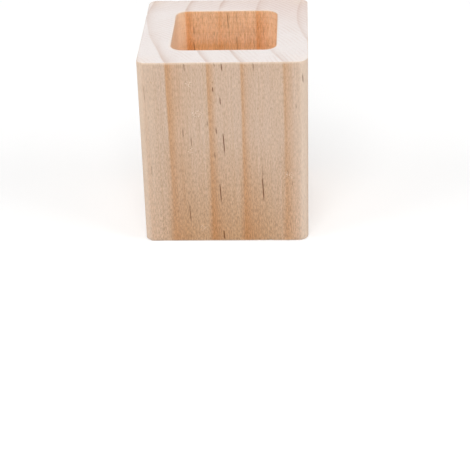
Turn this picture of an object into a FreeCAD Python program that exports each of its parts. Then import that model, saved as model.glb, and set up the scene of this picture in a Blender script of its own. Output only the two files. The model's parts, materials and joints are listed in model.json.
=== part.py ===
import FreeCAD, Part
import math
import os
import Sketcher

# Bed riser: one square block of planed softwood that stands under a bed leg.
# The leg drops into a square socket that is cut into the block's upper end.
# Origin at the middle of the foot, +Z up along the grain, X across the front. Sizes in millimetres.

SIZES = {
    # The block, with its four long edges rounded over.
    "block_width": 80.0,
    "block_breadth": 80.0,
    "block_height": 95.0,
    "corner_round": 4.0,
    # The socket, with the round inner corners that its cutter leaves.
    "socket_width": 50.0,
    "socket_breadth": 50.0,
    "socket_depth": 45.0,
    "socket_round": 6.0,
    # Sanded edges at the upper rim, the socket's mouth and the foot.
    "rim_ease": 0.6,
    "mouth_ease": 0.4,
    "foot_ease": 0.8,
}

NODE = "riser_block"
OUTPUT_FOLDER = "parts"

FOOT_LEVEL = 0.0
LEVEL_TOLERANCE = 1e-4
VOLUME_TOLERANCE = 1e-4

# Ends of a line or an arc, and the sketch's own origin, as constraints number them.
START = 1
END = 2
CENTRE = 3
SKETCH_ORIGIN = (-1, 1)

QUARTER_TURN = math.pi / 2
UP = FreeCAD.Vector(0, 0, 1)


def make_sheet(doc):
    """Put each driving dimension in a cell of its own, named by an alias."""
    sheet = doc.addObject("Spreadsheet::Sheet", "Sizes")
    for row, (alias, value) in enumerate(SIZES.items(), start=1):
        sheet.set(f"A{row}", alias)
        sheet.set(f"B{row}", str(value))
        sheet.setAlias(f"B{row}", alias)
    doc.recompute()


def rounded_rectangle(body, name, width, breadth, radius):
    """Sketch a rectangle about the origin, with four like round corners, on the foot's plane.

    width, breadth and radius name cells of the sheet.
    """
    sketch = body.newObject("Sketcher::SketchObject", name)
    plane = next(item for item in body.Origin.OriginFeatures if item.Role == "XY_Plane")
    sketch.AttachmentSupport = [(plane, "")]
    sketch.MapMode = "FlatFace"

    # The sides run anticlockwise from the right-hand one, and a round corner follows each side.
    inset = SIZES[radius]
    half_x = SIZES[width] / 2 - inset
    half_y = SIZES[breadth] / 2 - inset
    centres = [
        FreeCAD.Vector(half_x, -half_y, 0),
        FreeCAD.Vector(half_x, half_y, 0),
        FreeCAD.Vector(-half_x, half_y, 0),
        FreeCAD.Vector(-half_x, -half_y, 0),
    ]
    sides = []
    rounds = []
    for index in range(4):
        begin = centres[index]
        finish = centres[(index + 1) % 4]
        turn = index * QUARTER_TURN
        outward = FreeCAD.Vector(math.cos(turn), math.sin(turn), 0) * inset
        line = Part.LineSegment(begin + outward, finish + outward)
        arc = Part.ArcOfCircle(Part.Circle(finish, UP, inset), turn, turn + QUARTER_TURN)
        sides.append(sketch.addGeometry(line, False))
        rounds.append(sketch.addGeometry(arc, False))

    for index in range(4):
        following = sides[(index + 1) % 4]
        direction = "Vertical" if index % 2 == 0 else "Horizontal"
        sketch.addConstraint(Sketcher.Constraint(direction, sides[index]))
        sketch.addConstraint(Sketcher.Constraint("Tangent", sides[index], END, rounds[index], START))
        sketch.addConstraint(Sketcher.Constraint("Tangent", rounds[index], END, following, START))
    for other in rounds[1:]:
        sketch.addConstraint(Sketcher.Constraint("Equal", rounds[0], other))
    sketch.addConstraint(Sketcher.Constraint("Symmetric", rounds[0], CENTRE, rounds[2], CENTRE, *SKETCH_ORIGIN))

    right, back, left, front = sides
    dimensions = {
        width: Sketcher.Constraint("DistanceX", left, START, right, START, SIZES[width]),
        breadth: Sketcher.Constraint("DistanceY", front, START, back, START, SIZES[breadth]),
        radius: Sketcher.Constraint("Radius", rounds[0], SIZES[radius]),
    }
    for cell, constraint in dimensions.items():
        sketch.renameConstraint(sketch.addConstraint(constraint), cell)
        sketch.setExpression(f"Constraints.{cell}", f"Sizes.{cell}")
    return sketch


def make_block(doc, body):
    """Saw and plane the block: its outline, as tall as the riser."""
    block = body.newObject("PartDesign::Pad", "block")
    block.Profile = rounded_rectangle(body, "block_outline", "block_width", "block_breadth", "corner_round")
    block.setExpression("Length", "Sizes.block_height")
    doc.recompute()
    return block


def cut_socket(doc, body, block):
    """Cut the leg's socket down from the upper end, with a flat floor."""
    outline = rounded_rectangle(body, "socket_outline", "socket_width", "socket_breadth", "socket_round")
    outline.setExpression("AttachmentOffset.Base.z", "Sizes.block_height")
    socket = body.newObject("PartDesign::Pocket", "socket")
    socket.Profile = outline
    socket.setExpression("Length", "Sizes.socket_depth")
    doc.recompute()

    expected = Part.Face(outline.Shape.Wires).Area * SIZES["socket_depth"]
    removed = block.Shape.Volume - socket.Shape.Volume
    if abs(removed - expected) > VOLUME_TOLERANCE * expected:
        raise RuntimeError(f"the socket removes {removed:.1f} mm3, not {expected:.1f} mm3")


def end_face(shape, level):
    """The flat end of the block that lies at a height."""
    for face in shape.Faces:
        box = face.BoundBox
        if max(abs(box.ZMin - level), abs(box.ZMax - level)) < LEVEL_TOLERANCE:
            return face
    raise RuntimeError(f"no flat end at {level} mm")


def outer_edges(face):
    return face.OuterWire.Edges


def inner_edges(face):
    return [edge for wire in face.Wires if not wire.isSame(face.OuterWire) for edge in wire.Edges]


def ease(doc, body, name, level, pick_edges):
    """Round off edges of the end at a height, by the size in the cell of the same name."""
    base = body.Tip
    wanted = pick_edges(end_face(base.Shape, level))
    edges = enumerate(base.Shape.Edges, start=1)
    names = [f"Edge{number}" for number, edge in edges if any(edge.isSame(other) for other in wanted)]
    rounding = body.newObject("PartDesign::Fillet", name)
    rounding.Base = (base, names)
    rounding.setExpression("Radius", f"Sizes.{name}")
    doc.recompute()


def check(doc, body):
    """Stop if any feature failed or the finished shape isn't one valid solid."""
    for item in doc.Objects:
        if "Invalid" in item.State or "Error" in item.State:
            raise RuntimeError(f"{item.Name} failed: {item.State}")
    if body.Shape.isNull() or not body.Shape.isValid() or len(body.Shape.Solids) != 1:
        raise RuntimeError(f"{body.Label} isn't one valid solid")


def main():
    doc = FreeCAD.newDocument("bed_riser")
    make_sheet(doc)
    body = doc.addObject("PartDesign::Body", NODE)
    body.Label = NODE

    block = make_block(doc, body)
    cut_socket(doc, body, block)
    ease(doc, body, "rim_ease", SIZES["block_height"], outer_edges)
    ease(doc, body, "mouth_ease", SIZES["block_height"], inner_edges)
    ease(doc, body, "foot_ease", FOOT_LEVEL, outer_edges)

    check(doc, body)
    os.makedirs(OUTPUT_FOLDER, exist_ok=True)
    body.Shape.exportStep(os.path.join(OUTPUT_FOLDER, f"{body.Label}.step"))
    print(f"{body.Label}: {body.Shape.Volume:.1f} mm3")


main()
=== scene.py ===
import json
import math
import random

import bpy
import numpy as np
from mathutils import Matrix, Vector, noise


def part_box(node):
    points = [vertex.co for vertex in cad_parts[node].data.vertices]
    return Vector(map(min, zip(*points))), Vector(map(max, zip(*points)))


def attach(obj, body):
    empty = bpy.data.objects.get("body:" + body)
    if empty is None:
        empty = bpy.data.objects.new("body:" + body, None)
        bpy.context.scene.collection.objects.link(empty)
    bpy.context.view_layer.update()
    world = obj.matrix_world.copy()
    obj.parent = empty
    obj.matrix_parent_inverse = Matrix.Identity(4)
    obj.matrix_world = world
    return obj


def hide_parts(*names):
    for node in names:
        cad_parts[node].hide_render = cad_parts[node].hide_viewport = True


# Bed riser: a block of raw pine with a socket for a bed leg in its upper end.
# Lengths are in metres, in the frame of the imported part: +Z up, the front face towards -Y.

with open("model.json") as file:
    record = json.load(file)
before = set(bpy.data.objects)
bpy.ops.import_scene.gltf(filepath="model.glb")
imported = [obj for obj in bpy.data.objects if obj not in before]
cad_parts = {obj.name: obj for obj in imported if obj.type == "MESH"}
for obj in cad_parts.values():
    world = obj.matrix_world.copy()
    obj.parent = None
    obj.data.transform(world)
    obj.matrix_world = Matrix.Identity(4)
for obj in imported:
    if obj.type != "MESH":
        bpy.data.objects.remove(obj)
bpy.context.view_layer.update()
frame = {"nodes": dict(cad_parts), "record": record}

MM = 0.001
NODE = "riser_block"
PIECE = "riser_wood"
SEED = 7

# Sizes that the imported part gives.
_, BLOCK_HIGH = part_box(NODE)
BLOCK_HALF = (BLOCK_HIGH.x, BLOCK_HIGH.y)
HEIGHT = BLOCK_HIGH.z
MOUNTS = {mount["name"]: mount for mount in frame["record"]["mounts"]}
FLOOR_LEVEL = MOUNTS["socket_floor"]["pos_m"][2]
ON_FLOOR = 0.01 * MM
FLOOR_POINTS = [v.co for v in frame["nodes"][NODE].data.vertices if abs(v.co.z - FLOOR_LEVEL) < ON_FLOOR]
SOCKET_HALF = (max(point.x for point in FLOOR_POINTS), max(point.y for point in FLOOR_POINTS))

# Rounding of the long edges, in the order front right, back right, back left, front left.
BLOCK_ROUNDS = (5.0 * MM, 4.0 * MM, 4.0 * MM, 4.0 * MM)
SOCKET_ROUNDS = (6.0 * MM,) * 4

# Easing of the rim's outer edge, the socket's mouth and the foot's edge.
RIM_EASE = 0.3 * MM
MOUTH_EASE = 0.4 * MM
FOOT_EASE = 0.8 * MM

# How finely the surface is divided.
COLUMN_STEP = 1.35 * MM
CORNER_STEPS = 8
WALL_STEP = 1.25 * MM
RIM_STEP = 1.1 * MM
FLOOR_STEP = 1.7 * MM
BASE_STEP = 2.2 * MM
SIDE_STEP = 1.08 * MM
EASE_STEPS = 4
MIDDLE_SHARE = 0.05

# Edges that bend by more than this are shaded as sharp.
SHARP_ANGLE = math.radians(50)

# Growth rings: arcs about a pith that lies outside the block, in the order of growth.
# Each ring has a sharp outer edge, a depth of dark latewood inside it, and a strength.
PITH = (138.0 * MM, 18.0 * MM)
RING_TAPER = 0.008
FIRST_RING = 66.0 * MM
RINGS = [
    (84.0 * MM, 2.0 * MM, 0.7),
    (103.2 * MM, 1.5 * MM, 0.65),
    (123.6 * MM, 2.2 * MM, 0.66),
    (141.6 * MM, 1.6 * MM, 0.9),
    (156.2 * MM, 1.8 * MM, 0.9),
    (174.0 * MM, 3.7 * MM, 0.95),
    (184.6 * MM, 0.8 * MM, 0.35),
]

# How the colour of the latewood fades inwards: depths inside the ring's edge, share of its strength there.
# A depth is at most the space between two rings over DEPTHS_BETWEEN_RINGS.
LATEWOOD_STOPS = [(2.2, 0.08), (0.9, 0.5), (0.0, 1.0)]
DEPTHS_BETWEEN_RINGS = 3.8

# Outside a ring's edge the colour is gone within a blur. Towards the foot it is broader and softer.
EDGE_BLUR = 0.6 * MM
EDGE_BLUR_AT_FOOT = 2.4 * MM
BROADER_AT_FOOT = 2.6

# Bulges of the rings, outwards, or inwards where the height is negative: place, reach each way, height.
# The first bends the rings at the back left; the others draw an arch on the left and right faces.
ALL_HEIGHTS = 10.0
BULGES = [
    ((-34.0 * MM, 22.0 * MM, 0.0), (38.0 * MM, 48.0 * MM, ALL_HEIGHTS), 4.0 * MM),
    ((-40.0 * MM, 12.0 * MM, 2.0 * MM), (45.0 * MM, 23.0 * MM, 76.0 * MM), 24.0 * MM),
    ((40.0 * MM, 22.0 * MM, 8.0 * MM), (20.0 * MM, 24.0 * MM, 70.0 * MM), -9.0 * MM),
]

# Where the latewood is fainter, or stronger where the share is negative: place, reach each way, share.
FADES = [
    ((0.0, 25.0 * MM, 75.0 * MM), (10.0 * MM, 8.0 * MM, 80.0 * MM), 0.85),
    ((14.0 * MM, 25.0 * MM, 75.0 * MM), (12.0 * MM, 5.0 * MM, 80.0 * MM), -0.5),
    ((-18.0 * MM, 25.0 * MM, 75.0 * MM), (10.0 * MM, 5.0 * MM, 80.0 * MM), -0.5),
    ((-25.0 * MM, -16.0 * MM, 80.0 * MM), (6.0 * MM, 22.0 * MM, 60.0 * MM), 1.0),
    ((-34.0 * MM, 4.0 * MM, 96.0 * MM), (14.0 * MM, 40.0 * MM, 6.0 * MM), 0.6),
    ((-20.0 * MM, -40.0 * MM, 16.0 * MM), (14.0 * MM, 10.0 * MM, 52.0 * MM), 0.4),
]

# Relief of the surface, all of it cut inwards.
RING_RELIEF = 0.06 * MM
EDGE_WEAR = 0.24 * MM
WEAR_SIZE = 7.0 * MM
WEAR_START = 0.35
# Pale of the sanded edges, partly wear and partly a painted highlight: how far it spreads round the long
# edges' corners, and its share on the socket's corners.
CORNER_WEAR_AND_HIGHLIGHT_SPREAD = 1.35
SOCKET_CORNER_WEAR_AND_HIGHLIGHT = 0.35
GROOVE_DEPTH = 0.22 * MM
GROOVE_HALF_WIDTH = 0.38 * MM
GROOVE_GAP = 0.2 * MM
PASS_DEPTH = 16.4 * MM
PASS_STEP = 0.07 * MM
LOOP_WIDTH = 6.0 * MM
LOOP_SQUARENESS = 7.0
NICK_COUNT = 16
NICK_RADII = (1.4 * MM, 2.6 * MM)
NICK_DEPTHS = (0.1 * MM, 0.3 * MM)

# Resin streaks on the front face, in millimetres: place across, upper end, lower end; then strength.
FRONT_STREAKS = [
    (-36.8, 84.0, 74.5, 0.3),
    (-35.2, 41.5, 37.0, 0.35),
    (-19.4, 61.4, 56.5, 0.5),
    (-17.5, 94.8, 91.0, 0.65),
    (-17.5, 20.5, 11.0, 0.65),
    (-17.5, 3.4, 1.8, 0.5),
    (-15.5, 57.0, 51.6, 0.5),
    (-7.6, 64.8, 63.2, 0.5),
    (-4.5, 82.5, 79.6, 0.9),
    (-4.5, 48.5, 45.0, 0.55),
    (-3.5, 61.4, 58.6, 0.75),
    (-3.5, 94.8, 93.2, 0.6),
    (-2.4, 32.0, 21.5, 0.95),
    (-1.25, 77.5, 73.5, 0.85),
    (-1.25, 6.0, 0.9, 1.0),
    (-0.1, 94.2, 90.6, 0.85),
    (-0.1, 59.0, 47.8, 0.95),
    (14.6, 94.6, 91.2, 0.65),
    (18.2, 40.0, 35.5, 0.4),
    (18.2, 35.5, 22.3, 1.0),
    (30.2, 38.8, 37.2, 0.45),
    (31.2, 18.2, 16.4, 0.45),
    (31.2, 10.4, 8.8, 0.4),
    (32.3, 32.6, 30.4, 0.45),
    (34.4, 73.2, 71.4, 0.5),
    (37.6, 88.5, 84.0, 0.8),
]

# Resin streaks on the socket's back wall, as above, with depths below the rim.
SOCKET_STREAKS = [
    (-17.1, 7.8, 12.8, 0.5),
    (-17.1, 16.4, 24.0, 0.65),
    (-6.9, 10.6, 14.0, 0.35),
    (0.1, 1.3, 10.2, 0.5),
    (4.5, 0.8, 7.0, 0.36),
    (4.5, 13.4, 21.5, 0.42),
    (13.1, 9.0, 12.6, 0.3),
    (13.1, 15.8, 20.4, 0.36),
    (17.8, 7.6, 14.7, 0.3),
]

# Streaks on each of the other faces: one in each equal part of its width, or elsewhere if another is close.
# Between two values each: its place in that part, as a share of it, its length and its strength.
OTHER_STREAKS = 9
OTHER_PLACES = (0.2, 0.8)
OTHER_LENGTHS_MM = (2.0, 11.0)
OTHER_STRENGTHS = (0.4, 1.0)
CLEAR_SHARE = 0.04

# A streak leans sideways by at most this share of its length, and its strength grows from each tip.
STREAK_LEAN = 0.045
TIP_STRENGTH = 0.25
TIP_GROWTH = 4.0

# Pale scuffs on the front face, in millimetres: place across, height, radius.
FRONT_SCUFFS = [
    (-15.8, 84.2, 2.0),
    (-12.6, 69.3, 2.8),
    (-15.8, 49.6, 1.7),
    (-11.4, 7.7, 1.8),
    (31.2, 36.4, 2.2),
]
SCUFF_DEPTH = 0.06 * MM
SCUFF_FLATNESS = 2.0

# Camera that sees the part as the photograph does, in a square picture.
CAMERA_PLACE = Vector((0.0379, -0.6989, 0.3759))
CAMERA_YAW = math.radians(2.95)
CAMERA_PITCH = math.radians(29.45)
CAMERA_ROLL = math.radians(-1.67)
PICTURE_PIXELS = 470
FOCAL_PIXELS = 1544.0
SENSOR_WIDTH_MM = 36.0


# Columns around the outline

# Numbers of the stretches of an outline, from the front on: the sides are even, the round corners odd.
FRONT, FRONT_RIGHT, RIGHT, BACK, LEFT, FRONT_LEFT = 0, 1, 2, 4, 6, 7


def stretch_lengths(half, rounds):
    """Lengths of an outline's eight stretches: each side and the round corner after it."""
    lengths = []
    for side in range(4):
        across = 2 * half[side % 2]
        lengths.append(across - rounds[side - 1] - rounds[side])
        lengths.append(rounds[side] * math.pi / 2)
    return lengths


def front_station(x):
    """The stretch of the block's outline, and the share of its length, that lies at x on the front."""
    flat_start = -BLOCK_HALF[0] + BLOCK_ROUNDS[3]
    flat_end = BLOCK_HALF[0] - BLOCK_ROUNDS[0]
    if x > flat_end:
        return FRONT_RIGHT, math.asin((x - flat_end) / BLOCK_ROUNDS[0]) / (math.pi / 2)
    if x < flat_start:
        return FRONT_LEFT, 1 - math.asin((flat_start - x) / BLOCK_ROUNDS[3]) / (math.pi / 2)
    return FRONT, (x - flat_start) / (flat_end - flat_start)


def socket_back_station(x):
    """The same on the socket's back wall, which runs from right to left."""
    flat = SOCKET_HALF[0] - SOCKET_ROUNDS[1]
    return BACK, (flat - x) / (2 * flat)


def streak_room(streaks):
    """The streaks' places, each with its half width and the room it needs, as shares of its stretch."""
    lengths = {
        "side": stretch_lengths(BLOCK_HALF, BLOCK_ROUNDS),
        "wall": stretch_lengths(SOCKET_HALF, SOCKET_ROUNDS),
    }
    room = {}
    for region, stretch, share, upper, lower, _, lean in streaks:
        length = lengths[region][stretch]
        shift = abs(lean) * (upper - lower) / 2
        needed = (GROOVE_HALF_WIDTH + shift + GROOVE_GAP) / length
        _, before = room.get((stretch, share), (0.0, 0.0))
        room[stretch, share] = (GROOVE_HALF_WIDTH / length, max(needed, before))
    return room


def plan_columns(room):
    """Stations around the outline, evenly spaced, with three close ones at each streak's place."""
    columns = []
    for stretch, length in enumerate(stretch_lengths(BLOCK_HALF, BLOCK_ROUNDS)):
        steps = CORNER_STEPS if stretch % 2 else round(length / COLUMN_STEP)
        even = [step / steps for step in range(steps)]
        taken = [(share, *sizes) for (place, share), sizes in room.items() if place == stretch]
        extra = [share + side * half for share, half, _ in taken for side in (-1, 0, 1)]
        kept = [share for share in even if all(abs(share - other) > needed for other, _, needed in taken)]
        columns += [(stretch, share) for share in sorted(kept + extra)]
    return columns


def outline(half, rounds, columns):
    """Points of a rounded rectangle at the columns, and the directions out of it, as two arrays."""
    half_x, half_y = half
    centres = [
        (half_x - rounds[0], -half_y + rounds[0]),
        (half_x - rounds[1], half_y - rounds[1]),
        (-half_x + rounds[2], half_y - rounds[2]),
        (-half_x + rounds[3], -half_y + rounds[3]),
    ]
    points = []
    outwards = []
    for stretch, share in columns:
        corner = stretch // 2
        before = corner if stretch % 2 else corner - 1
        turn = (corner - 1 + (share if stretch % 2 else 0.0)) * math.pi / 2
        direction = np.array((math.cos(turn), math.sin(turn)))
        first = np.array(centres[before]) + rounds[before] * direction
        last = np.array(centres[corner]) + rounds[corner] * direction
        points.append(first + (last - first) * share)
        outwards.append(direction)
    return np.array(points), np.array(outwards)


def grown(half, rounds, by):
    """A rounded rectangle moved outwards by a distance."""
    return (half[0] + by, half[1] + by), tuple(r + by for r in rounds)


# Rows of the surface, from the middle of the socket's floor over the rim to the middle of the foot

def even_steps(start, end, step):
    count = max(1, round(abs(end - start) / step))
    return np.linspace(start, end, count + 1)


def quarter_turn():
    """Angles along the round of an eased edge, after its start."""
    return [step / EASE_STEPS * math.pi / 2 for step in range(1, EASE_STEPS + 1)]


class Surface:
    """Rings of points with their directions out of the wood, and the region that each ring lies in."""

    def __init__(self, columns):
        self.columns = columns
        self.regions = []
        self.points = []
        self.normals = []

    def add(self, region, points, level, outwards, lean):
        """Add a ring; lean is its direction out of the wood, along the outline's own and upwards."""
        count = len(points)
        self.regions.append(region)
        self.points.append(np.column_stack((points, np.full(count, level))))
        self.normals.append(np.column_stack((outwards * lean[0], np.full(count, lean[1]))))

    def seal(self):
        self.points = np.array(self.points)
        self.normals = np.array(self.normals)


def make_surface(columns):
    surface = Surface(columns)
    points, out = outline(SOCKET_HALF, SOCKET_ROUNDS, columns)
    for share in even_steps(MIDDLE_SHARE, 1.0, FLOOR_STEP / SOCKET_HALF[0]):
        surface.add("floor", points * share, FLOOR_LEVEL, out, (0.0, 1.0))
    for level in even_steps(FLOOR_LEVEL, HEIGHT - MOUTH_EASE, WALL_STEP)[1:]:
        surface.add("wall", points, level, out, (-1.0, 0.0))
    for angle in quarter_turn():
        across = MOUTH_EASE * (1 - math.cos(angle))
        points, out = outline(*grown(SOCKET_HALF, SOCKET_ROUNDS, across), columns)
        level = HEIGHT - MOUTH_EASE * (1 - math.sin(angle))
        surface.add("mouth", points, level, out, (-math.cos(angle), math.sin(angle)))

    inner = points
    outer, out = outline(*grown(BLOCK_HALF, BLOCK_ROUNDS, -RIM_EASE), columns)
    rim_width = BLOCK_HALF[0] - SOCKET_HALF[0]
    for share in even_steps(0.0, 1.0, RIM_STEP / rim_width)[1:]:
        surface.add("rim", inner + (outer - inner) * share, HEIGHT, out, (0.0, 1.0))
    for angle in quarter_turn():
        across = RIM_EASE * (math.sin(angle) - 1)
        points, out = outline(*grown(BLOCK_HALF, BLOCK_ROUNDS, across), columns)
        level = HEIGHT - RIM_EASE * (1 - math.cos(angle))
        surface.add("rim_ease", points, level, out, (math.sin(angle), math.cos(angle)))
    for level in even_steps(HEIGHT - RIM_EASE, FOOT_EASE, SIDE_STEP)[1:]:
        surface.add("side", points, level, out, (1.0, 0.0))
    for angle in quarter_turn():
        across = FOOT_EASE * (math.cos(angle) - 1)
        points, out = outline(*grown(BLOCK_HALF, BLOCK_ROUNDS, across), columns)
        level = FOOT_EASE * (1 - math.sin(angle))
        surface.add("foot_ease", points, level, out, (math.cos(angle), -math.sin(angle)))
    for share in even_steps(1.0, MIDDLE_SHARE, BASE_STEP / BLOCK_HALF[0])[1:]:
        surface.add("base", points * share, 0.0, out, (0.0, -1.0))
    surface.seal()
    return surface


# Relief

EASES = ("mouth", "rim_ease", "foot_ease")


def latewood(points):
    """Share of dense latewood at each point: it rises to each ring's outer edge and stops there."""
    from_pith = np.hypot(points[..., 0] - PITH[0], points[..., 1] - PITH[1])
    ring = from_pith + RING_TAPER * (HEIGHT - points[..., 2])
    for place, reach, height in BULGES:
        away = np.linalg.norm((points - place) / reach, axis=-1)
        ring = ring - height * np.clip(1 - away, 0, 1)
    share = np.zeros(ring.shape)
    inner = FIRST_RING
    for outer, width, strength in RINGS:
        inside = (ring > inner) & (ring <= outer)
        share[inside] = strength * np.exp((ring[inside] - outer) / width)
        inner = outer
    return share


def too_close(streaks, stretch, share):
    """Whether a place on a stretch has a streak, of the side or the socket's wall, too close to it."""
    return any(streak[1] == stretch and abs(streak[2] - share) < CLEAR_SHARE for streak in streaks)


def plan_streaks(rng):
    """Streaks as region, stretch, share of its length, upper end, lower end, strength and lean."""
    streaks = []
    for x, upper, lower, strength in FRONT_STREAKS:
        streaks.append(("side", *front_station(x * MM), upper * MM, lower * MM, strength, STREAK_LEAN))
    for x, first, last, strength in SOCKET_STREAKS:
        upper = HEIGHT - first * MM
        lower = HEIGHT - last * MM
        streaks.append(("wall", *socket_back_station(x * MM), upper, lower, strength, STREAK_LEAN))
    for stretch in (RIGHT, BACK, LEFT):
        for index in range(OTHER_STREAKS):
            share = (index + rng.uniform(*OTHER_PLACES)) / OTHER_STREAKS
            while too_close(streaks, stretch, share):
                share = rng.uniform(CLEAR_SHARE, 1 - CLEAR_SHARE)
            length = rng.uniform(*OTHER_LENGTHS_MM) * MM
            lower = rng.uniform(FOOT_EASE, HEIGHT - RIM_EASE - length)
            lean = rng.uniform(-STREAK_LEAN, STREAK_LEAN)
            strength = rng.uniform(*OTHER_STRENGTHS)
            streaks.append(("side", stretch, share, lower + length, lower, strength, lean))
    return streaks


def cut_streaks(surface, streaks, depths, resin):
    """Sink a narrow groove along each streak, which leans a little, and mark its resin."""
    for region, stretch, share, upper, lower, strength, lean in streaks:
        gaps = [(place != stretch, abs(other - share)) for place, other in surface.columns]
        column = gaps.index(min(gaps))
        trio = slice(column - 1, column + 2)
        middle = (upper + lower) / 2
        for row, place in enumerate(surface.regions):
            level = surface.points[row, column, 2]
            if place != region or not lower <= level <= upper:
                continue
            along = (level - lower) / (upper - lower)
            taper = strength * min(1.0, TIP_GROWTH * min(along, 1 - along) + TIP_STRENGTH)
            depths[row, column] += GROOVE_DEPTH * taper
            resin[row, column] = taper
            out = surface.normals[row, column]
            tangent = np.array((-out[1], out[0], 0.0))
            surface.points[row, trio] += tangent * lean * (middle - level)


def cut_nicks(surface, rng, depths):
    """Dent the outer edges here and there."""
    edges = [row for row, region in enumerate(surface.regions) if region in ("rim_ease", "foot_ease")]
    sides = [row for row, region in enumerate(surface.regions) if region == "side"]
    corners = [index for index, (stretch, _) in enumerate(surface.columns) if stretch % 2]
    for index in range(NICK_COUNT):
        if index % 2:
            centre = surface.points[rng.choice(edges), rng.randrange(len(surface.columns))]
        else:
            centre = surface.points[rng.choice(sides), rng.choice(corners)]
        radius = rng.uniform(*NICK_RADII)
        depth = rng.uniform(*NICK_DEPTHS)
        away = np.linalg.norm(surface.points - centre, axis=2) / radius
        depths += depth * np.clip(1 - away ** 2, 0, None) ** 2


def scuff_front(surface, depths):
    """Rub shallow patches into the front face, and give how far each point lies in one."""
    scuffed = np.zeros(depths.shape)
    for x, level, radius in FRONT_SCUFFS:
        centre = np.array((x * MM, -BLOCK_HALF[1], level * MM))
        away = np.linalg.norm(surface.points - centre, axis=2) / (radius * MM)
        share = np.clip(SCUFF_FLATNESS * (1 - away ** 2), 0, 1)
        depths += SCUFF_DEPTH * share
        scuffed = np.maximum(scuffed, share)
    return scuffed


def cut_passes(surface, depths):
    """Leave the steps of the cutter: bands down the socket's walls and square loops on its floor."""
    for row, region in enumerate(surface.regions):
        if region == "wall":
            number = int((HEIGHT - surface.points[row, 0, 2]) / PASS_DEPTH)
        elif region == "floor":
            number = int(np.abs(surface.points[row, :, 1]).max() / LOOP_WIDTH)
        else:
            continue
        depths[row] += PASS_STEP * (number % 2)


def wear_edges(surface, depths):
    """Sand the eased edges unevenly, most where they face halfway between their two faces."""
    for row, region in enumerate(surface.regions):
        if region not in EASES:
            continue
        for column, point in enumerate(surface.points[row]):
            out = surface.normals[row, column]
            bevel = 2 * math.hypot(out[0], out[1]) * abs(out[2])
            rough = 0.5 + 0.5 * noise.noise(Vector(point) / WEAR_SIZE)
            depths[row, column] += EDGE_WEAR * bevel * max(0.0, rough - WEAR_START)


def worn_and_highlight_shares(surface):
    """How far each point lies on a sanded edge, pale from wear and from a painted highlight: an ease, a long
    edge or, less, a corner of the socket.
    """
    bends = [math.sin(math.pi * share) if stretch % 2 else 0.0 for stretch, share in surface.columns]
    corner = np.clip(CORNER_WEAR_AND_HIGHLIGHT_SPREAD * np.array(bends), 0, 1)
    rows = []
    for region in surface.regions:
        if region in EASES:
            rows.append(np.ones(len(corner)))
        elif region == "side":
            rows.append(corner)
        elif region == "wall":
            rows.append(corner * SOCKET_CORNER_WEAR_AND_HIGHLIGHT)
        else:
            rows.append(np.zeros(len(corner)))
    return np.array(rows)


def ring_faces(rows, count):
    """Quads between the rings of points, and a fan about the middle of the first and of the last ring."""
    last = (rows - 1) * count
    first_middle = rows * count
    last_middle = first_middle + 1
    faces = []
    for column in range(count):
        after = (column + 1) % count
        faces.append((first_middle, column, after))
        for here in range(0, last, count):
            there = here + count
            faces.append((here + column, there + column, there + after, here + after))
        faces.append((last_middle, last + after, last + column))
    return faces


def with_middles(values):
    """Values at the rings of points, ring by ring, and then at the middle of the first and the last."""
    flat = values.reshape(-1, *values.shape[2:])
    return np.concatenate((flat, values[[0, -1]].mean(axis=1)))


def add_attribute(mesh, name, values):
    attribute = mesh.attributes.new(name, "FLOAT", "POINT")
    attribute.data.foreach_set("value", with_middles(values).astype(np.float32))


def make_block(material):
    """The wooden block as one closed mesh."""
    rng = random.Random(SEED)
    streaks = plan_streaks(rng)
    surface = make_surface(plan_columns(streak_room(streaks)))
    across_grain = np.hypot(surface.normals[..., 0], surface.normals[..., 1])
    depths = RING_RELIEF * (1 - latewood(surface.points)) * across_grain
    resin = np.zeros(depths.shape)
    cut_passes(surface, depths)
    wear_edges(surface, depths)
    cut_nicks(surface, rng, depths)
    scuffed = scuff_front(surface, depths)
    cut_streaks(surface, streaks, depths, resin)
    points = surface.points - surface.normals * depths[..., None]

    rows, count = depths.shape
    mesh = bpy.data.meshes.new(PIECE)
    mesh.from_pydata(with_middles(points).tolist(), [], ring_faces(rows, count))
    inside = np.array([region in ("floor", "wall") for region in surface.regions], float)
    add_attribute(mesh, "resin", resin)
    add_attribute(mesh, "socket", np.repeat(inside[:, None], count, axis=1))
    # Pale of the sanded edges, partly wear and partly a painted highlight.
    add_attribute(mesh, "worn_and_highlight", worn_and_highlight_shares(surface))
    add_attribute(mesh, "scuffed", scuffed)
    mesh.shade_smooth()
    mesh.set_sharp_from_angle(angle=SHARP_ANGLE)
    mesh.materials.append(material)
    block = bpy.data.objects.new(PIECE, mesh)
    bpy.context.scene.collection.objects.link(block)
    return block


# Materials

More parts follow.
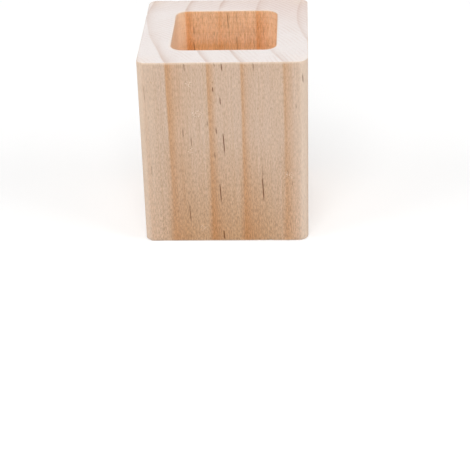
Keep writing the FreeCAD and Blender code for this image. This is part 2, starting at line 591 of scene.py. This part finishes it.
class Nodes:
    """Short calls for building a node tree."""

    def __init__(self, tree):
        self.tree = tree
        self.tree.nodes.clear()

    def add(self, kind, inputs=None, **settings):
        node = self.tree.nodes.new(kind)
        for name, value in settings.items():
            setattr(node, name, value)
        for key, value in (inputs or {}).items():
            if isinstance(value, bpy.types.NodeSocket):
                self.tree.links.new(value, node.inputs[key])
            else:
                node.inputs[key].default_value = value
        return node

    def maths(self, operation, *values, clamp=False):
        node = self.add("ShaderNodeMath", dict(enumerate(values)), operation=operation, use_clamp=clamp)
        return node.outputs[0]

    def vector(self, operation, *values):
        node = self.add("ShaderNodeVectorMath", dict(enumerate(values)), operation=operation)
        return node.outputs["Value"] if operation == "LENGTH" else node.outputs["Vector"]

    def noise(self, vector, detail=3.0, roughness=0.55, output="Fac"):
        inputs = {"Vector": vector, "Scale": 1.0, "Detail": detail, "Roughness": roughness}
        return self.add("ShaderNodeTexNoise", inputs).outputs[output]

    def span(self, value, low, high, to_low=0.0, to_high=1.0):
        """A value brought from one range to another and kept within it."""
        inputs = {0: value, 1: low, 2: high, 3: to_low, 4: to_high}
        return self.add("ShaderNodeMapRange", inputs).outputs[0]

    def mix(self, factor, first, second, blend="MIX"):
        colours = [(*c, 1.0) if isinstance(c, tuple) else c for c in (first, second)]
        inputs = {0: factor, 6: colours[0], 7: colours[1]}
        return self.add("ShaderNodeMix", inputs, data_type="RGBA", blend_type=blend).outputs[2]

    def ramp(self, factor, stops):
        node = self.add("ShaderNodeValToRGB", {"Fac": factor})
        elements = node.color_ramp.elements
        while len(elements) < len(stops):
            elements.new(1.0)
        for element, (place, grey) in zip(elements, stops):
            element.position = place
            element.color = (grey, grey, grey, 1.0)
        return node.outputs["Color"]

    def attribute(self, name):
        return self.add("ShaderNodeAttribute", attribute_name=name).outputs["Fac"]

    def split(self, vector):
        return self.add("ShaderNodeSeparateXYZ", {0: vector}).outputs

    def seen(self):
        """One for the rays that show a surface directly, in a gloss or through glass; nought for others."""
        path = self.add("ShaderNodeLightPath").outputs
        direct = self.maths("MAXIMUM", path["Is Camera Ray"], path["Is Glossy Ray"])
        return self.maths("MAXIMUM", direct, path["Is Transmission Ray"])


def linear(red, green, blue):
    """A colour written as screen values from 0 to 255, as the linear numbers that shaders take."""
    values = (channel / 255 for channel in (red, green, blue))
    return tuple(v / 12.92 if v <= 0.04045 else ((v + 0.055) / 1.055) ** 2.4 for v in values)


# Colours of the wood: early and late growth on long grain, the same on end grain, pale wood for wear and for
# painted highlight and painted light, and resin.
EARLY = linear(224, 199, 179)
LATE = linear(216, 170, 129)
END_PALE = linear(236, 228, 225)
END_RING = linear(213, 192, 181)
PALE_WEAR_AND_LIGHT = linear(240, 223, 206)
RESIN = linear(100, 54, 10)

# Strength of a streak at which it has the full colour of resin.
RESIN_FULL = 0.86

# Slow noise that bends the rings: its width across the grain and length along it, its middle value,
# and how far it moves the rings and their bulges.
BEND_SIZE = (22.0 * MM, 90.0 * MM)
BEND_MIDDLE = (0.5, 0.5, 0.5)
RING_BEND = (1.2 * MM, 1.2 * MM, 0.0)
BULGE_BEND = (0.0, 9.0 * MM, 30.0 * MM)

# Fine marks: width across the grain, length along it, and the detail and roughness of their noise.
FIBRES = (0.4 * MM, 18.0 * MM, 4.0)
SPECKS = (0.47 * MM, 2.0 * MM, 3.0, 0.6)
DRIFTS = (9.0 * MM, 60.0 * MM, 2.0)
FLECKS = (0.7 * MM, 2.2 * MM, 2.0)
DUST = (0.6 * MM, 0.6 * MM, 4.0, 0.65)
CRUMBS = (0.7 * MM, 0.7 * MM, 2.0)
TORN_FIBRES = (0.33 * MM, 5.0 * MM, 3.0)
CHATTER = (40.0 * MM, 0.9 * MM, 3.0)

# Faint lines along the rings.
LINE_WIDTH = 1.1 * MM
LINE_LENGTH = 160.0 * MM
LINE_DETAIL = 2.0

# Layers of marks: the noise where a mark begins, the noise where it is full, and the tint that it has there.
FIBRE_LAYER = (0.32, 0.7, (0.88, 0.85, 0.82))
SPECK_LAYER = (0.41, 0.63, (0.8, 0.775, 0.75))
LINE_LAYER = (0.38, 0.66, (0.96, 0.93, 0.895))
DRIFT_LAYER = (0.4, 0.62, (0.985, 0.965, 0.93))
FLECK_LAYER = (0.63, 0.77, (0.8, 0.72, 0.62))
DUST_LAYER = (0.4, 0.72, (0.92, 0.915, 0.905))
PIT_LAYER = (0.43, 0.37, (0.8, 0.74, 0.68))
TORN_LAYER = (0.58, 0.7, (0.78, 0.68, 0.52))

# Painted shade and painted warm bounce light towards the foot, darker and warmer: heights where it begins
# and is full, its share across the face, its tint, and how much stronger the specks are there.
FOOT_TONE = (58.0 * MM, 4.0 * MM)
FOOT_SHADE_ACROSS = (38.0 * MM, 20.0 * MM, 0.25, 1.0)
FOOT_SHADE_TINT = (0.83, 0.705, 0.545)
FOOT_CONTRAST = 0.1

# End grain: how far a face has to turn upwards or downwards, and the darker tone towards the back right.
END_TURN = (0.5, 0.85)
END_RING_POWER = 1.4
BACK_TONE = (6.0 * MM, 52.0 * MM)
BACK_SLANT = 0.45
BACK_TINT = (0.935, 0.85, 0.81)

# Saw strokes on the end grain: arcs that wander, in patches, and everywhere towards the back.
SAW_CENTRE = (-90.0 * MM, -80.0 * MM, 0.0)
SAW_PITCH = 2.1 * MM
SAW_WANDER = 9.0
SAW_WANDER_MARKS = (16.0 * MM, 16.0 * MM, 2.0)
SAW_PATCH_MARKS = (14.0 * MM, 14.0 * MM, 2.0)
SAW_PATCHES = (0.45, 0.65)
SAW_AT_BACK = 1.2
SAW_CREST = (-0.2, 1.0)
SAW_TINT = (0.945, 0.905, 0.885)

# Pale wood: its share on the sanded edges, partly wear and partly a painted highlight, a painted highlight
# near the long edges, and its share in the crumbs of a scuff.
WORN_AND_HIGHLIGHT_SHARE = 0.46
PAINTED_HIGHLIGHT_NEAR_EDGES = (30.5 * MM, 39.0 * MM, 0.0, 0.3)
WORN_CRUMBS = (0.54, 0.62, 0.0, 0.7)

# Socket: painted light that makes the left wall paler and less warm, warmer wood that is also brightened as
# painted light against the shade of the recess, and painted shade, darker and warmer, below the first pass,
# mostly at the left.
LEFT_WALL = (-20.0 * MM, -25.0 * MM)
LEFT_WALL_PAINTED_LIGHT = 0.6
LEFT_WALL_LIGHT_TINT = -0.5
# Warmer wood in the socket, raised also as painted light against the shade of the recess.
SOCKET_TINT = (1.31, 1.14, 0.92)
DEEP_SHADE_LEVELS = (PASS_DEPTH - 2.0 * MM, PASS_DEPTH + 2.0 * MM)
DEEP_SHADE_RISE = (-24.0 * MM, -18.0 * MM)
DEEP_SHADE_FALL = (-6.0 * MM, 18.0 * MM, 1.0, 0.2)
DEEP_SHADE_TINT = (0.98, 0.88, 0.71)
PALE_FIBRES = (0.43, 0.33, 0.0, 0.3)

# Marks of the cutter in the socket: lines across the walls and the edges of loops on the floor.
CHATTER_LINES = (0.42, 0.68)
CHATTER_TINT = (0.93, 0.9, 0.86)
LOOP_CREST = (0.75, 1.0)
LOOP_TINT = (0.9, 0.87, 0.84)

# Finest relief and gloss.
SAW_SINK = -0.3
CHATTER_SINK = -0.4
LOOP_SINK = -0.6
BUMP_STRENGTH = 0.3
BUMP_DISTANCE = 0.15 * MM
MATT = (0.3, 0.7, 0.6, 0.76)
RESIN_MATT = 0.14
SPECULAR = 0.28

# Multiplies a vector to lay it level.
FLATTEN = (1.0, 1.0, 0.0)


def ring_stops(broader, blur):
    """Stops of the latewood ramp, over the distances from the first ring's start to the last one's edge."""
    last = RINGS[-1][0]
    stops = []
    inner = FIRST_RING
    for outer, width, strength in RINGS:
        depth = min(width * broader, (outer - inner) / DEPTHS_BETWEEN_RINGS)
        places = [(inner + blur, 0.0)]
        places += [(outer - inside * depth, grey) for inside, grey in LATEWOOD_STOPS]
        for place, grey in places:
            stops.append(((place - FIRST_RING) / (last - FIRST_RING), grey * strength))
        inner = outer
    return stops


class Pine(Nodes):
    """Node tree of the wood, with the places, shares and marks that its layers have in common."""

    def __init__(self, tree):
        super().__init__(tree)
        coordinates = self.add("ShaderNodeTexCoord")
        self.place = coordinates.outputs["Object"]
        self.x, self.y, self.height = self.split(self.place)
        self.below_rim = self.maths("SUBTRACT", HEIGHT, self.height)
        self.to_foot = self.span(self.height, *FOOT_TONE)
        self.to_back = self.span(self.maths("MULTIPLY_ADD", self.x, BACK_SLANT, self.y), *BACK_TONE)
        upward = self.split(coordinates.outputs["Normal"])[2]
        self.on_end = self.span(self.maths("ABSOLUTE", upward), *END_TURN)
        self.in_socket = self.attribute("socket")
        self.fibre = self.marks(*FIBRES)
        self.dust = self.marks(*DUST)

    def grain(self, width, length):
        """Coordinates for noise whose marks have a width across the grain and a length along it."""
        return self.vector("MULTIPLY", self.place, (1 / width, 1 / width, 1 / length))

    def marks(self, width, length, *settings):
        return self.noise(self.grain(width, length), *settings)

    def away(self, place, centre, reach):
        """Distance from a centre, as a share of the reach each way."""
        from_centre = self.vector("SUBTRACT", place, centre)
        return self.vector("LENGTH", self.vector("DIVIDE", from_centre, reach))

    def layer(self, colour, marks, begin, full, tint, where=None):
        """Tint a colour by marks, all over or by the share where they lie."""
        share = self.span(marks, begin, full)
        if where is not None:
            share = self.maths("MULTIPLY", where, share)
        return self.mix(share, colour, tint, "MULTIPLY")

    def rings(self):
        """Distance from the pith, with the bulges taken off and bent a little by slow noise."""
        bend = self.noise(self.grain(*BEND_SIZE), output="Color")
        warp = self.vector("SUBTRACT", bend, BEND_MIDDLE)
        bent = self.vector("ADD", self.place, self.vector("MULTIPLY", warp, RING_BEND))
        radial = self.vector("MULTIPLY", self.vector("SUBTRACT", bent, (*PITH, 0.0)), FLATTEN)
        ring = self.maths("MULTIPLY_ADD", self.below_rim, RING_TAPER, self.vector("LENGTH", radial))
        wavy = self.vector("ADD", self.place, self.vector("MULTIPLY", warp, BULGE_BEND))
        for centre, reach, height in BULGES:
            bulge = self.span(self.away(wavy, centre, reach), 0.0, 1.0, height, 0.0)
            ring = self.maths("SUBTRACT", ring, bulge)
        return ring

    def latewood(self, ring):
        """Share of latewood, which is broader and softer towards the foot."""
        share = self.span(ring, FIRST_RING, RINGS[-1][0])
        high = self.ramp(share, ring_stops(1.0, EDGE_BLUR))
        low = self.ramp(share, ring_stops(BROADER_AT_FOOT, EDGE_BLUR_AT_FOOT))
        late = self.mix(self.to_foot, high, low)
        for centre, reach, fade in FADES:
            kept = self.span(self.away(self.place, centre, reach), 0.0, 1.0, 1.0 - fade, 1.0)
            late = self.maths("MULTIPLY", late, kept, clamp=True)
        return late

    def long_grain(self, ring, late):
        """Colour of the sides and the socket's walls, with painted shade towards the foot."""
        speck = self.marks(*SPECKS)
        across = self.maths("DIVIDE", ring, LINE_WIDTH)
        along = self.maths("DIVIDE", self.height, LINE_LENGTH)
        along_rings = self.add("ShaderNodeCombineXYZ", {0: across, 2: along}).outputs[0]
        colour = self.mix(late, EARLY, LATE)
        colour = self.layer(colour, self.fibre, *FIBRE_LAYER)
        colour = self.layer(colour, speck, *SPECK_LAYER)
        colour = self.layer(colour, self.noise(along_rings, LINE_DETAIL), *LINE_LAYER)
        colour = self.layer(colour, self.marks(*DRIFTS), *DRIFT_LAYER)
        colour = self.layer(colour, self.marks(*FLECKS), *FLECK_LAYER)
        contrast = self.span(speck, *SPECK_LAYER[:2], FOOT_CONTRAST, -FOOT_CONTRAST)
        coarse = self.maths("MULTIPLY", self.to_foot, contrast)
        colour = self.mix(1.0, colour, self.maths("ADD", coarse, 1.0), "MULTIPLY")
        # Painted shade with warm bounce light towards the foot, fullest in the middle of a face.
        inward = self.span(self.maths("ABSOLUTE", self.x), *FOOT_SHADE_ACROSS)
        return self.mix(self.maths("MULTIPLY", self.to_foot, inward), colour, FOOT_SHADE_TINT, "MULTIPLY")

    def saw_strokes(self):
        """Share of the saw's strokes, of which the socket's floor has none."""
        from_saw = self.vector("MULTIPLY", self.vector("SUBTRACT", self.place, SAW_CENTRE), FLATTEN)
        turn = self.maths("MULTIPLY", self.vector("LENGTH", from_saw), 2 * math.pi / SAW_PITCH)
        turn = self.maths("MULTIPLY_ADD", self.marks(*SAW_WANDER_MARKS), SAW_WANDER, turn)
        patchy = self.span(self.marks(*SAW_PATCH_MARKS), *SAW_PATCHES)
        patchy = self.maths("MULTIPLY_ADD", self.to_back, SAW_AT_BACK, patchy)
        crests = self.span(self.maths("SINE", turn), *SAW_CREST)
        strokes = self.maths("MULTIPLY", crests, patchy, clamp=True)
        return self.maths("MULTIPLY", strokes, self.maths("SUBTRACT", 1.0, self.in_socket))

    def end_grain(self, late, saw):
        """Colour of the rim, the underside and the socket's floor."""
        colour = self.mix(self.maths("POWER", late, END_RING_POWER), END_PALE, END_RING)
        colour = self.layer(colour, self.dust, *DUST_LAYER)
        colour = self.mix(saw, colour, SAW_TINT, "MULTIPLY")
        return self.mix(self.to_back, colour, BACK_TINT, "MULTIPLY")

    def wear_and_highlight(self, colour):
        """Pale sanded edges, partly wear and partly a painted highlight, a painted highlight near the long
        edges, and the pale crumbs and dark pits of the scuffs.
        """
        # Painted highlight on the faces near the long edges.
        near_edge = self.maths("MINIMUM", self.maths("ABSOLUTE", self.x), self.maths("ABSOLUTE", self.y))
        worn_and_highlight = self.maths("MULTIPLY", self.attribute("worn_and_highlight"), WORN_AND_HIGHLIGHT_SHARE)
        worn_and_highlight = self.maths("MAXIMUM", worn_and_highlight, self.span(near_edge, *PAINTED_HIGHLIGHT_NEAR_EDGES))
        colour = self.mix(worn_and_highlight, colour, PALE_WEAR_AND_LIGHT)
        crumbs = self.marks(*CRUMBS)
        scuffed = self.attribute("scuffed")
        pale = self.maths("MULTIPLY", scuffed, self.span(crumbs, *WORN_CRUMBS))
        colour = self.mix(pale, colour, PALE_WEAR_AND_LIGHT)
        return self.layer(colour, crumbs, *PIT_LAYER, where=scuffed)

    def chatter(self):
        """Share of the faint lines across the socket's walls, where the cutter went round."""
        return self.maths("MULTIPLY", self.in_socket, self.span(self.marks(*CHATTER), *CHATTER_LINES))

    def loops(self):
        """Share of the edges of the cutter's square loops on the socket's floor."""
        powers = []
        for along in (self.x, self.y):
            count = self.maths("DIVIDE", self.maths("ABSOLUTE", along), LOOP_WIDTH)
            powers.append(self.maths("POWER", count, LOOP_SQUARENESS))
        loop = self.maths("POWER", self.maths("ADD", *powers), 1 / LOOP_SQUARENESS)
        edge = self.span(self.maths("COSINE", self.maths("MULTIPLY", loop, 2 * math.pi)), *LOOP_CREST)
        return self.maths("MULTIPLY", edge, self.maths("MULTIPLY", self.in_socket, self.on_end))

    def socket(self, colour, chatter, loops):
        """Tones of the socket, with painted light on the left wall and in the warmer tint, painted shade
        below the first pass, torn fibres and the marks of the cutter.
        """
        # Painted light on the socket's left wall: paler, and with less of the socket's tint.
        lit_left_wall = self.maths("MULTIPLY", self.in_socket, self.span(self.x, *LEFT_WALL))
        colour = self.mix(self.maths("MULTIPLY", lit_left_wall, LEFT_WALL_PAINTED_LIGHT), colour, PALE_WEAR_AND_LIGHT)
        tinted = self.maths("MULTIPLY_ADD", lit_left_wall, LEFT_WALL_LIGHT_TINT, self.in_socket)
        colour = self.mix(tinted, colour, SOCKET_TINT, "MULTIPLY")
        # Painted shade deep in the socket, darker and warmer below the first pass, mostly at the left and
        # none on the left wall.
        deep_shade = self.maths("MULTIPLY", self.in_socket, self.span(self.below_rim, *DEEP_SHADE_LEVELS))
        deep_shade = self.maths("MULTIPLY", deep_shade, self.span(self.x, *DEEP_SHADE_RISE))
        deep_shade = self.maths("MULTIPLY", deep_shade, self.span(self.x, *DEEP_SHADE_FALL))
        colour = self.mix(deep_shade, colour, DEEP_SHADE_TINT, "MULTIPLY")
        colour = self.mix(chatter, colour, CHATTER_TINT, "MULTIPLY")
        torn = self.marks(*TORN_FIBRES)
        colour = self.layer(colour, torn, *TORN_LAYER, where=self.in_socket)
        pale = self.maths("MULTIPLY", self.in_socket, self.span(torn, *PALE_FIBRES))
        colour = self.mix(pale, colour, PALE_WEAR_AND_LIGHT)
        return self.mix(loops, colour, LOOP_TINT, "MULTIPLY")

    def relief(self, saw, chatter, loops):
        """Direction of the surface, with its finest marks raised or sunk."""
        to_dust = self.maths("SUBTRACT", self.dust, self.fibre)
        rise = self.maths("MULTIPLY_ADD", self.on_end, to_dust, self.fibre)
        rise = self.maths("MULTIPLY_ADD", self.maths("MULTIPLY", saw, self.on_end), SAW_SINK, rise)
        rise = self.maths("MULTIPLY_ADD", chatter, CHATTER_SINK, rise)
        rise = self.maths("MULTIPLY_ADD", loops, LOOP_SINK, rise)
        settings = {"Height": rise, "Strength": BUMP_STRENGTH, "Distance": BUMP_DISTANCE}
        return self.add("ShaderNodeBump", settings).outputs[0]


def make_pine():
    material = bpy.data.materials.new("raw_pine")
    material.use_nodes = True
    pine = Pine(material.node_tree)
    ring = pine.rings()
    late = pine.latewood(ring)
    saw = pine.saw_strokes()
    chatter = pine.chatter()
    loops = pine.loops()
    colour = pine.mix(pine.on_end, pine.long_grain(ring, late), pine.end_grain(late, saw))
    colour = pine.wear_and_highlight(colour)
    colour = pine.socket(colour, chatter, loops)
    resin = pine.span(pine.attribute("resin"), 0.0, RESIN_FULL)
    matt = pine.span(pine.fibre, *MATT)
    shader = pine.add("ShaderNodeBsdfPrincipled", {
        "Base Color": pine.mix(resin, colour, RESIN),
        "Roughness": pine.maths("MULTIPLY_ADD", resin, RESIN_MATT, matt),
        "Specular IOR Level": SPECULAR,
        "Normal": pine.relief(saw, chatter, loops),
    })
    pine.add("ShaderNodeOutputMaterial", {"Surface": shader.outputs[0]})
    return material


FLOOR_COLOUR = (0.68, 0.68, 0.68, 1.0)
FLOOR_GLOW = 0.38

# Between these distances from the middle, the floor goes over into the white background.
NEAR_FLOOR = 0.35
FAR_FLOOR = 1.4


def make_floor_material():
    """Pale floor that looks white where it is fully lit and keeps the shadow."""
    material = bpy.data.materials.new("pale_floor")
    material.use_nodes = True
    nodes = Nodes(material.node_tree)
    diffuse = nodes.add("ShaderNodeBsdfDiffuse", {"Color": FLOOR_COLOUR})
    away = nodes.vector("LENGTH", nodes.add("ShaderNodeTexCoord").outputs["Object"])
    level = nodes.span(away, NEAR_FLOOR, FAR_FLOOR, FLOOR_GLOW, 1.0)
    glow = nodes.add("ShaderNodeEmission", {"Strength": nodes.maths("MULTIPLY", nodes.seen(), level)})
    both = nodes.add("ShaderNodeAddShader", {0: diffuse.outputs[0], 1: glow.outputs[0]})
    nodes.add("ShaderNodeOutputMaterial", {"Surface": both.outputs[0]})
    return material


# Stage

FLOOR_HALF = 6.0
SKY_COLOUR = (1.0, 1.0, 1.0, 1.0)
SKY_LEVEL = 0.26

# Lamps: bearing from the front, clockwise from above; height angle; level that a facing white surface gets.
LAMP_DISTANCE = 1.7
LAMP_SIZE = 1.0
LAMPS = [
    ("key", 4.0, 46.0, 0.47),
    ("left_fill", 72.0, 34.0, 0.35),
    ("right_fill", -72.0, 33.0, 0.39),
    ("back_fill", 180.0, 25.0, 0.22),
]


def make_floor():
    mesh = bpy.data.meshes.new("floor")
    signs = ((-1, -1), (1, -1), (1, 1), (-1, 1))
    mesh.from_pydata([(a * FLOOR_HALF, b * FLOOR_HALF, 0.0) for a, b in signs], [], [(0, 1, 2, 3)])
    mesh.materials.append(make_floor_material())
    floor = bpy.data.objects.new("floor", mesh)
    bpy.context.scene.collection.objects.link(floor)


def make_sky():
    """Soft even light from all round, white where it is seen."""
    world = bpy.data.worlds.new("studio")
    world.use_nodes = True
    nodes = Nodes(world.node_tree)
    strength = nodes.span(nodes.seen(), 0.0, 1.0, SKY_LEVEL, 1.0)
    background = nodes.add("ShaderNodeBackground", {"Color": SKY_COLOUR, "Strength": strength})
    nodes.add("ShaderNodeOutputWorld", {"Surface": background.outputs[0]})
    bpy.context.scene.world = world


def make_lamps():
    for name, bearing, rise, level in LAMPS:
        turn = math.radians(bearing)
        up = math.radians(rise)
        toward = Vector((-math.sin(turn) * math.cos(up), -math.cos(turn) * math.cos(up), math.sin(up)))
        data = bpy.data.lights.new(name, "AREA")
        data.size = LAMP_SIZE
        data.energy = level * math.pi ** 2 * LAMP_DISTANCE ** 2
        lamp = bpy.data.objects.new(name, data)
        lamp.location = toward * LAMP_DISTANCE
        lamp.rotation_mode = "QUATERNION"
        lamp.rotation_quaternion = (-toward).to_track_quat("-Z", "Y")
        bpy.context.scene.collection.objects.link(lamp)


def make_camera():
    data = bpy.data.cameras.new("camera")
    data.sensor_width = SENSOR_WIDTH_MM
    data.lens = FOCAL_PIXELS / PICTURE_PIXELS * SENSOR_WIDTH_MM
    camera = bpy.data.objects.new("camera", data)
    turn = Matrix.Rotation(CAMERA_YAW, 4, "Z")
    tilt = Matrix.Rotation(math.pi / 2 - CAMERA_PITCH, 4, "X")
    roll = Matrix.Rotation(CAMERA_ROLL, 4, "Z")
    camera.matrix_world = Matrix.Translation(CAMERA_PLACE) @ turn @ tilt @ roll
    bpy.context.scene.collection.objects.link(camera)
    bpy.context.scene.camera = camera


bpy.context.scene.view_settings.view_transform = "Standard"
wood = make_block(make_pine())
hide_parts(NODE)
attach(wood, "root")
make_floor()
make_sky()
make_lamps()
make_camera()
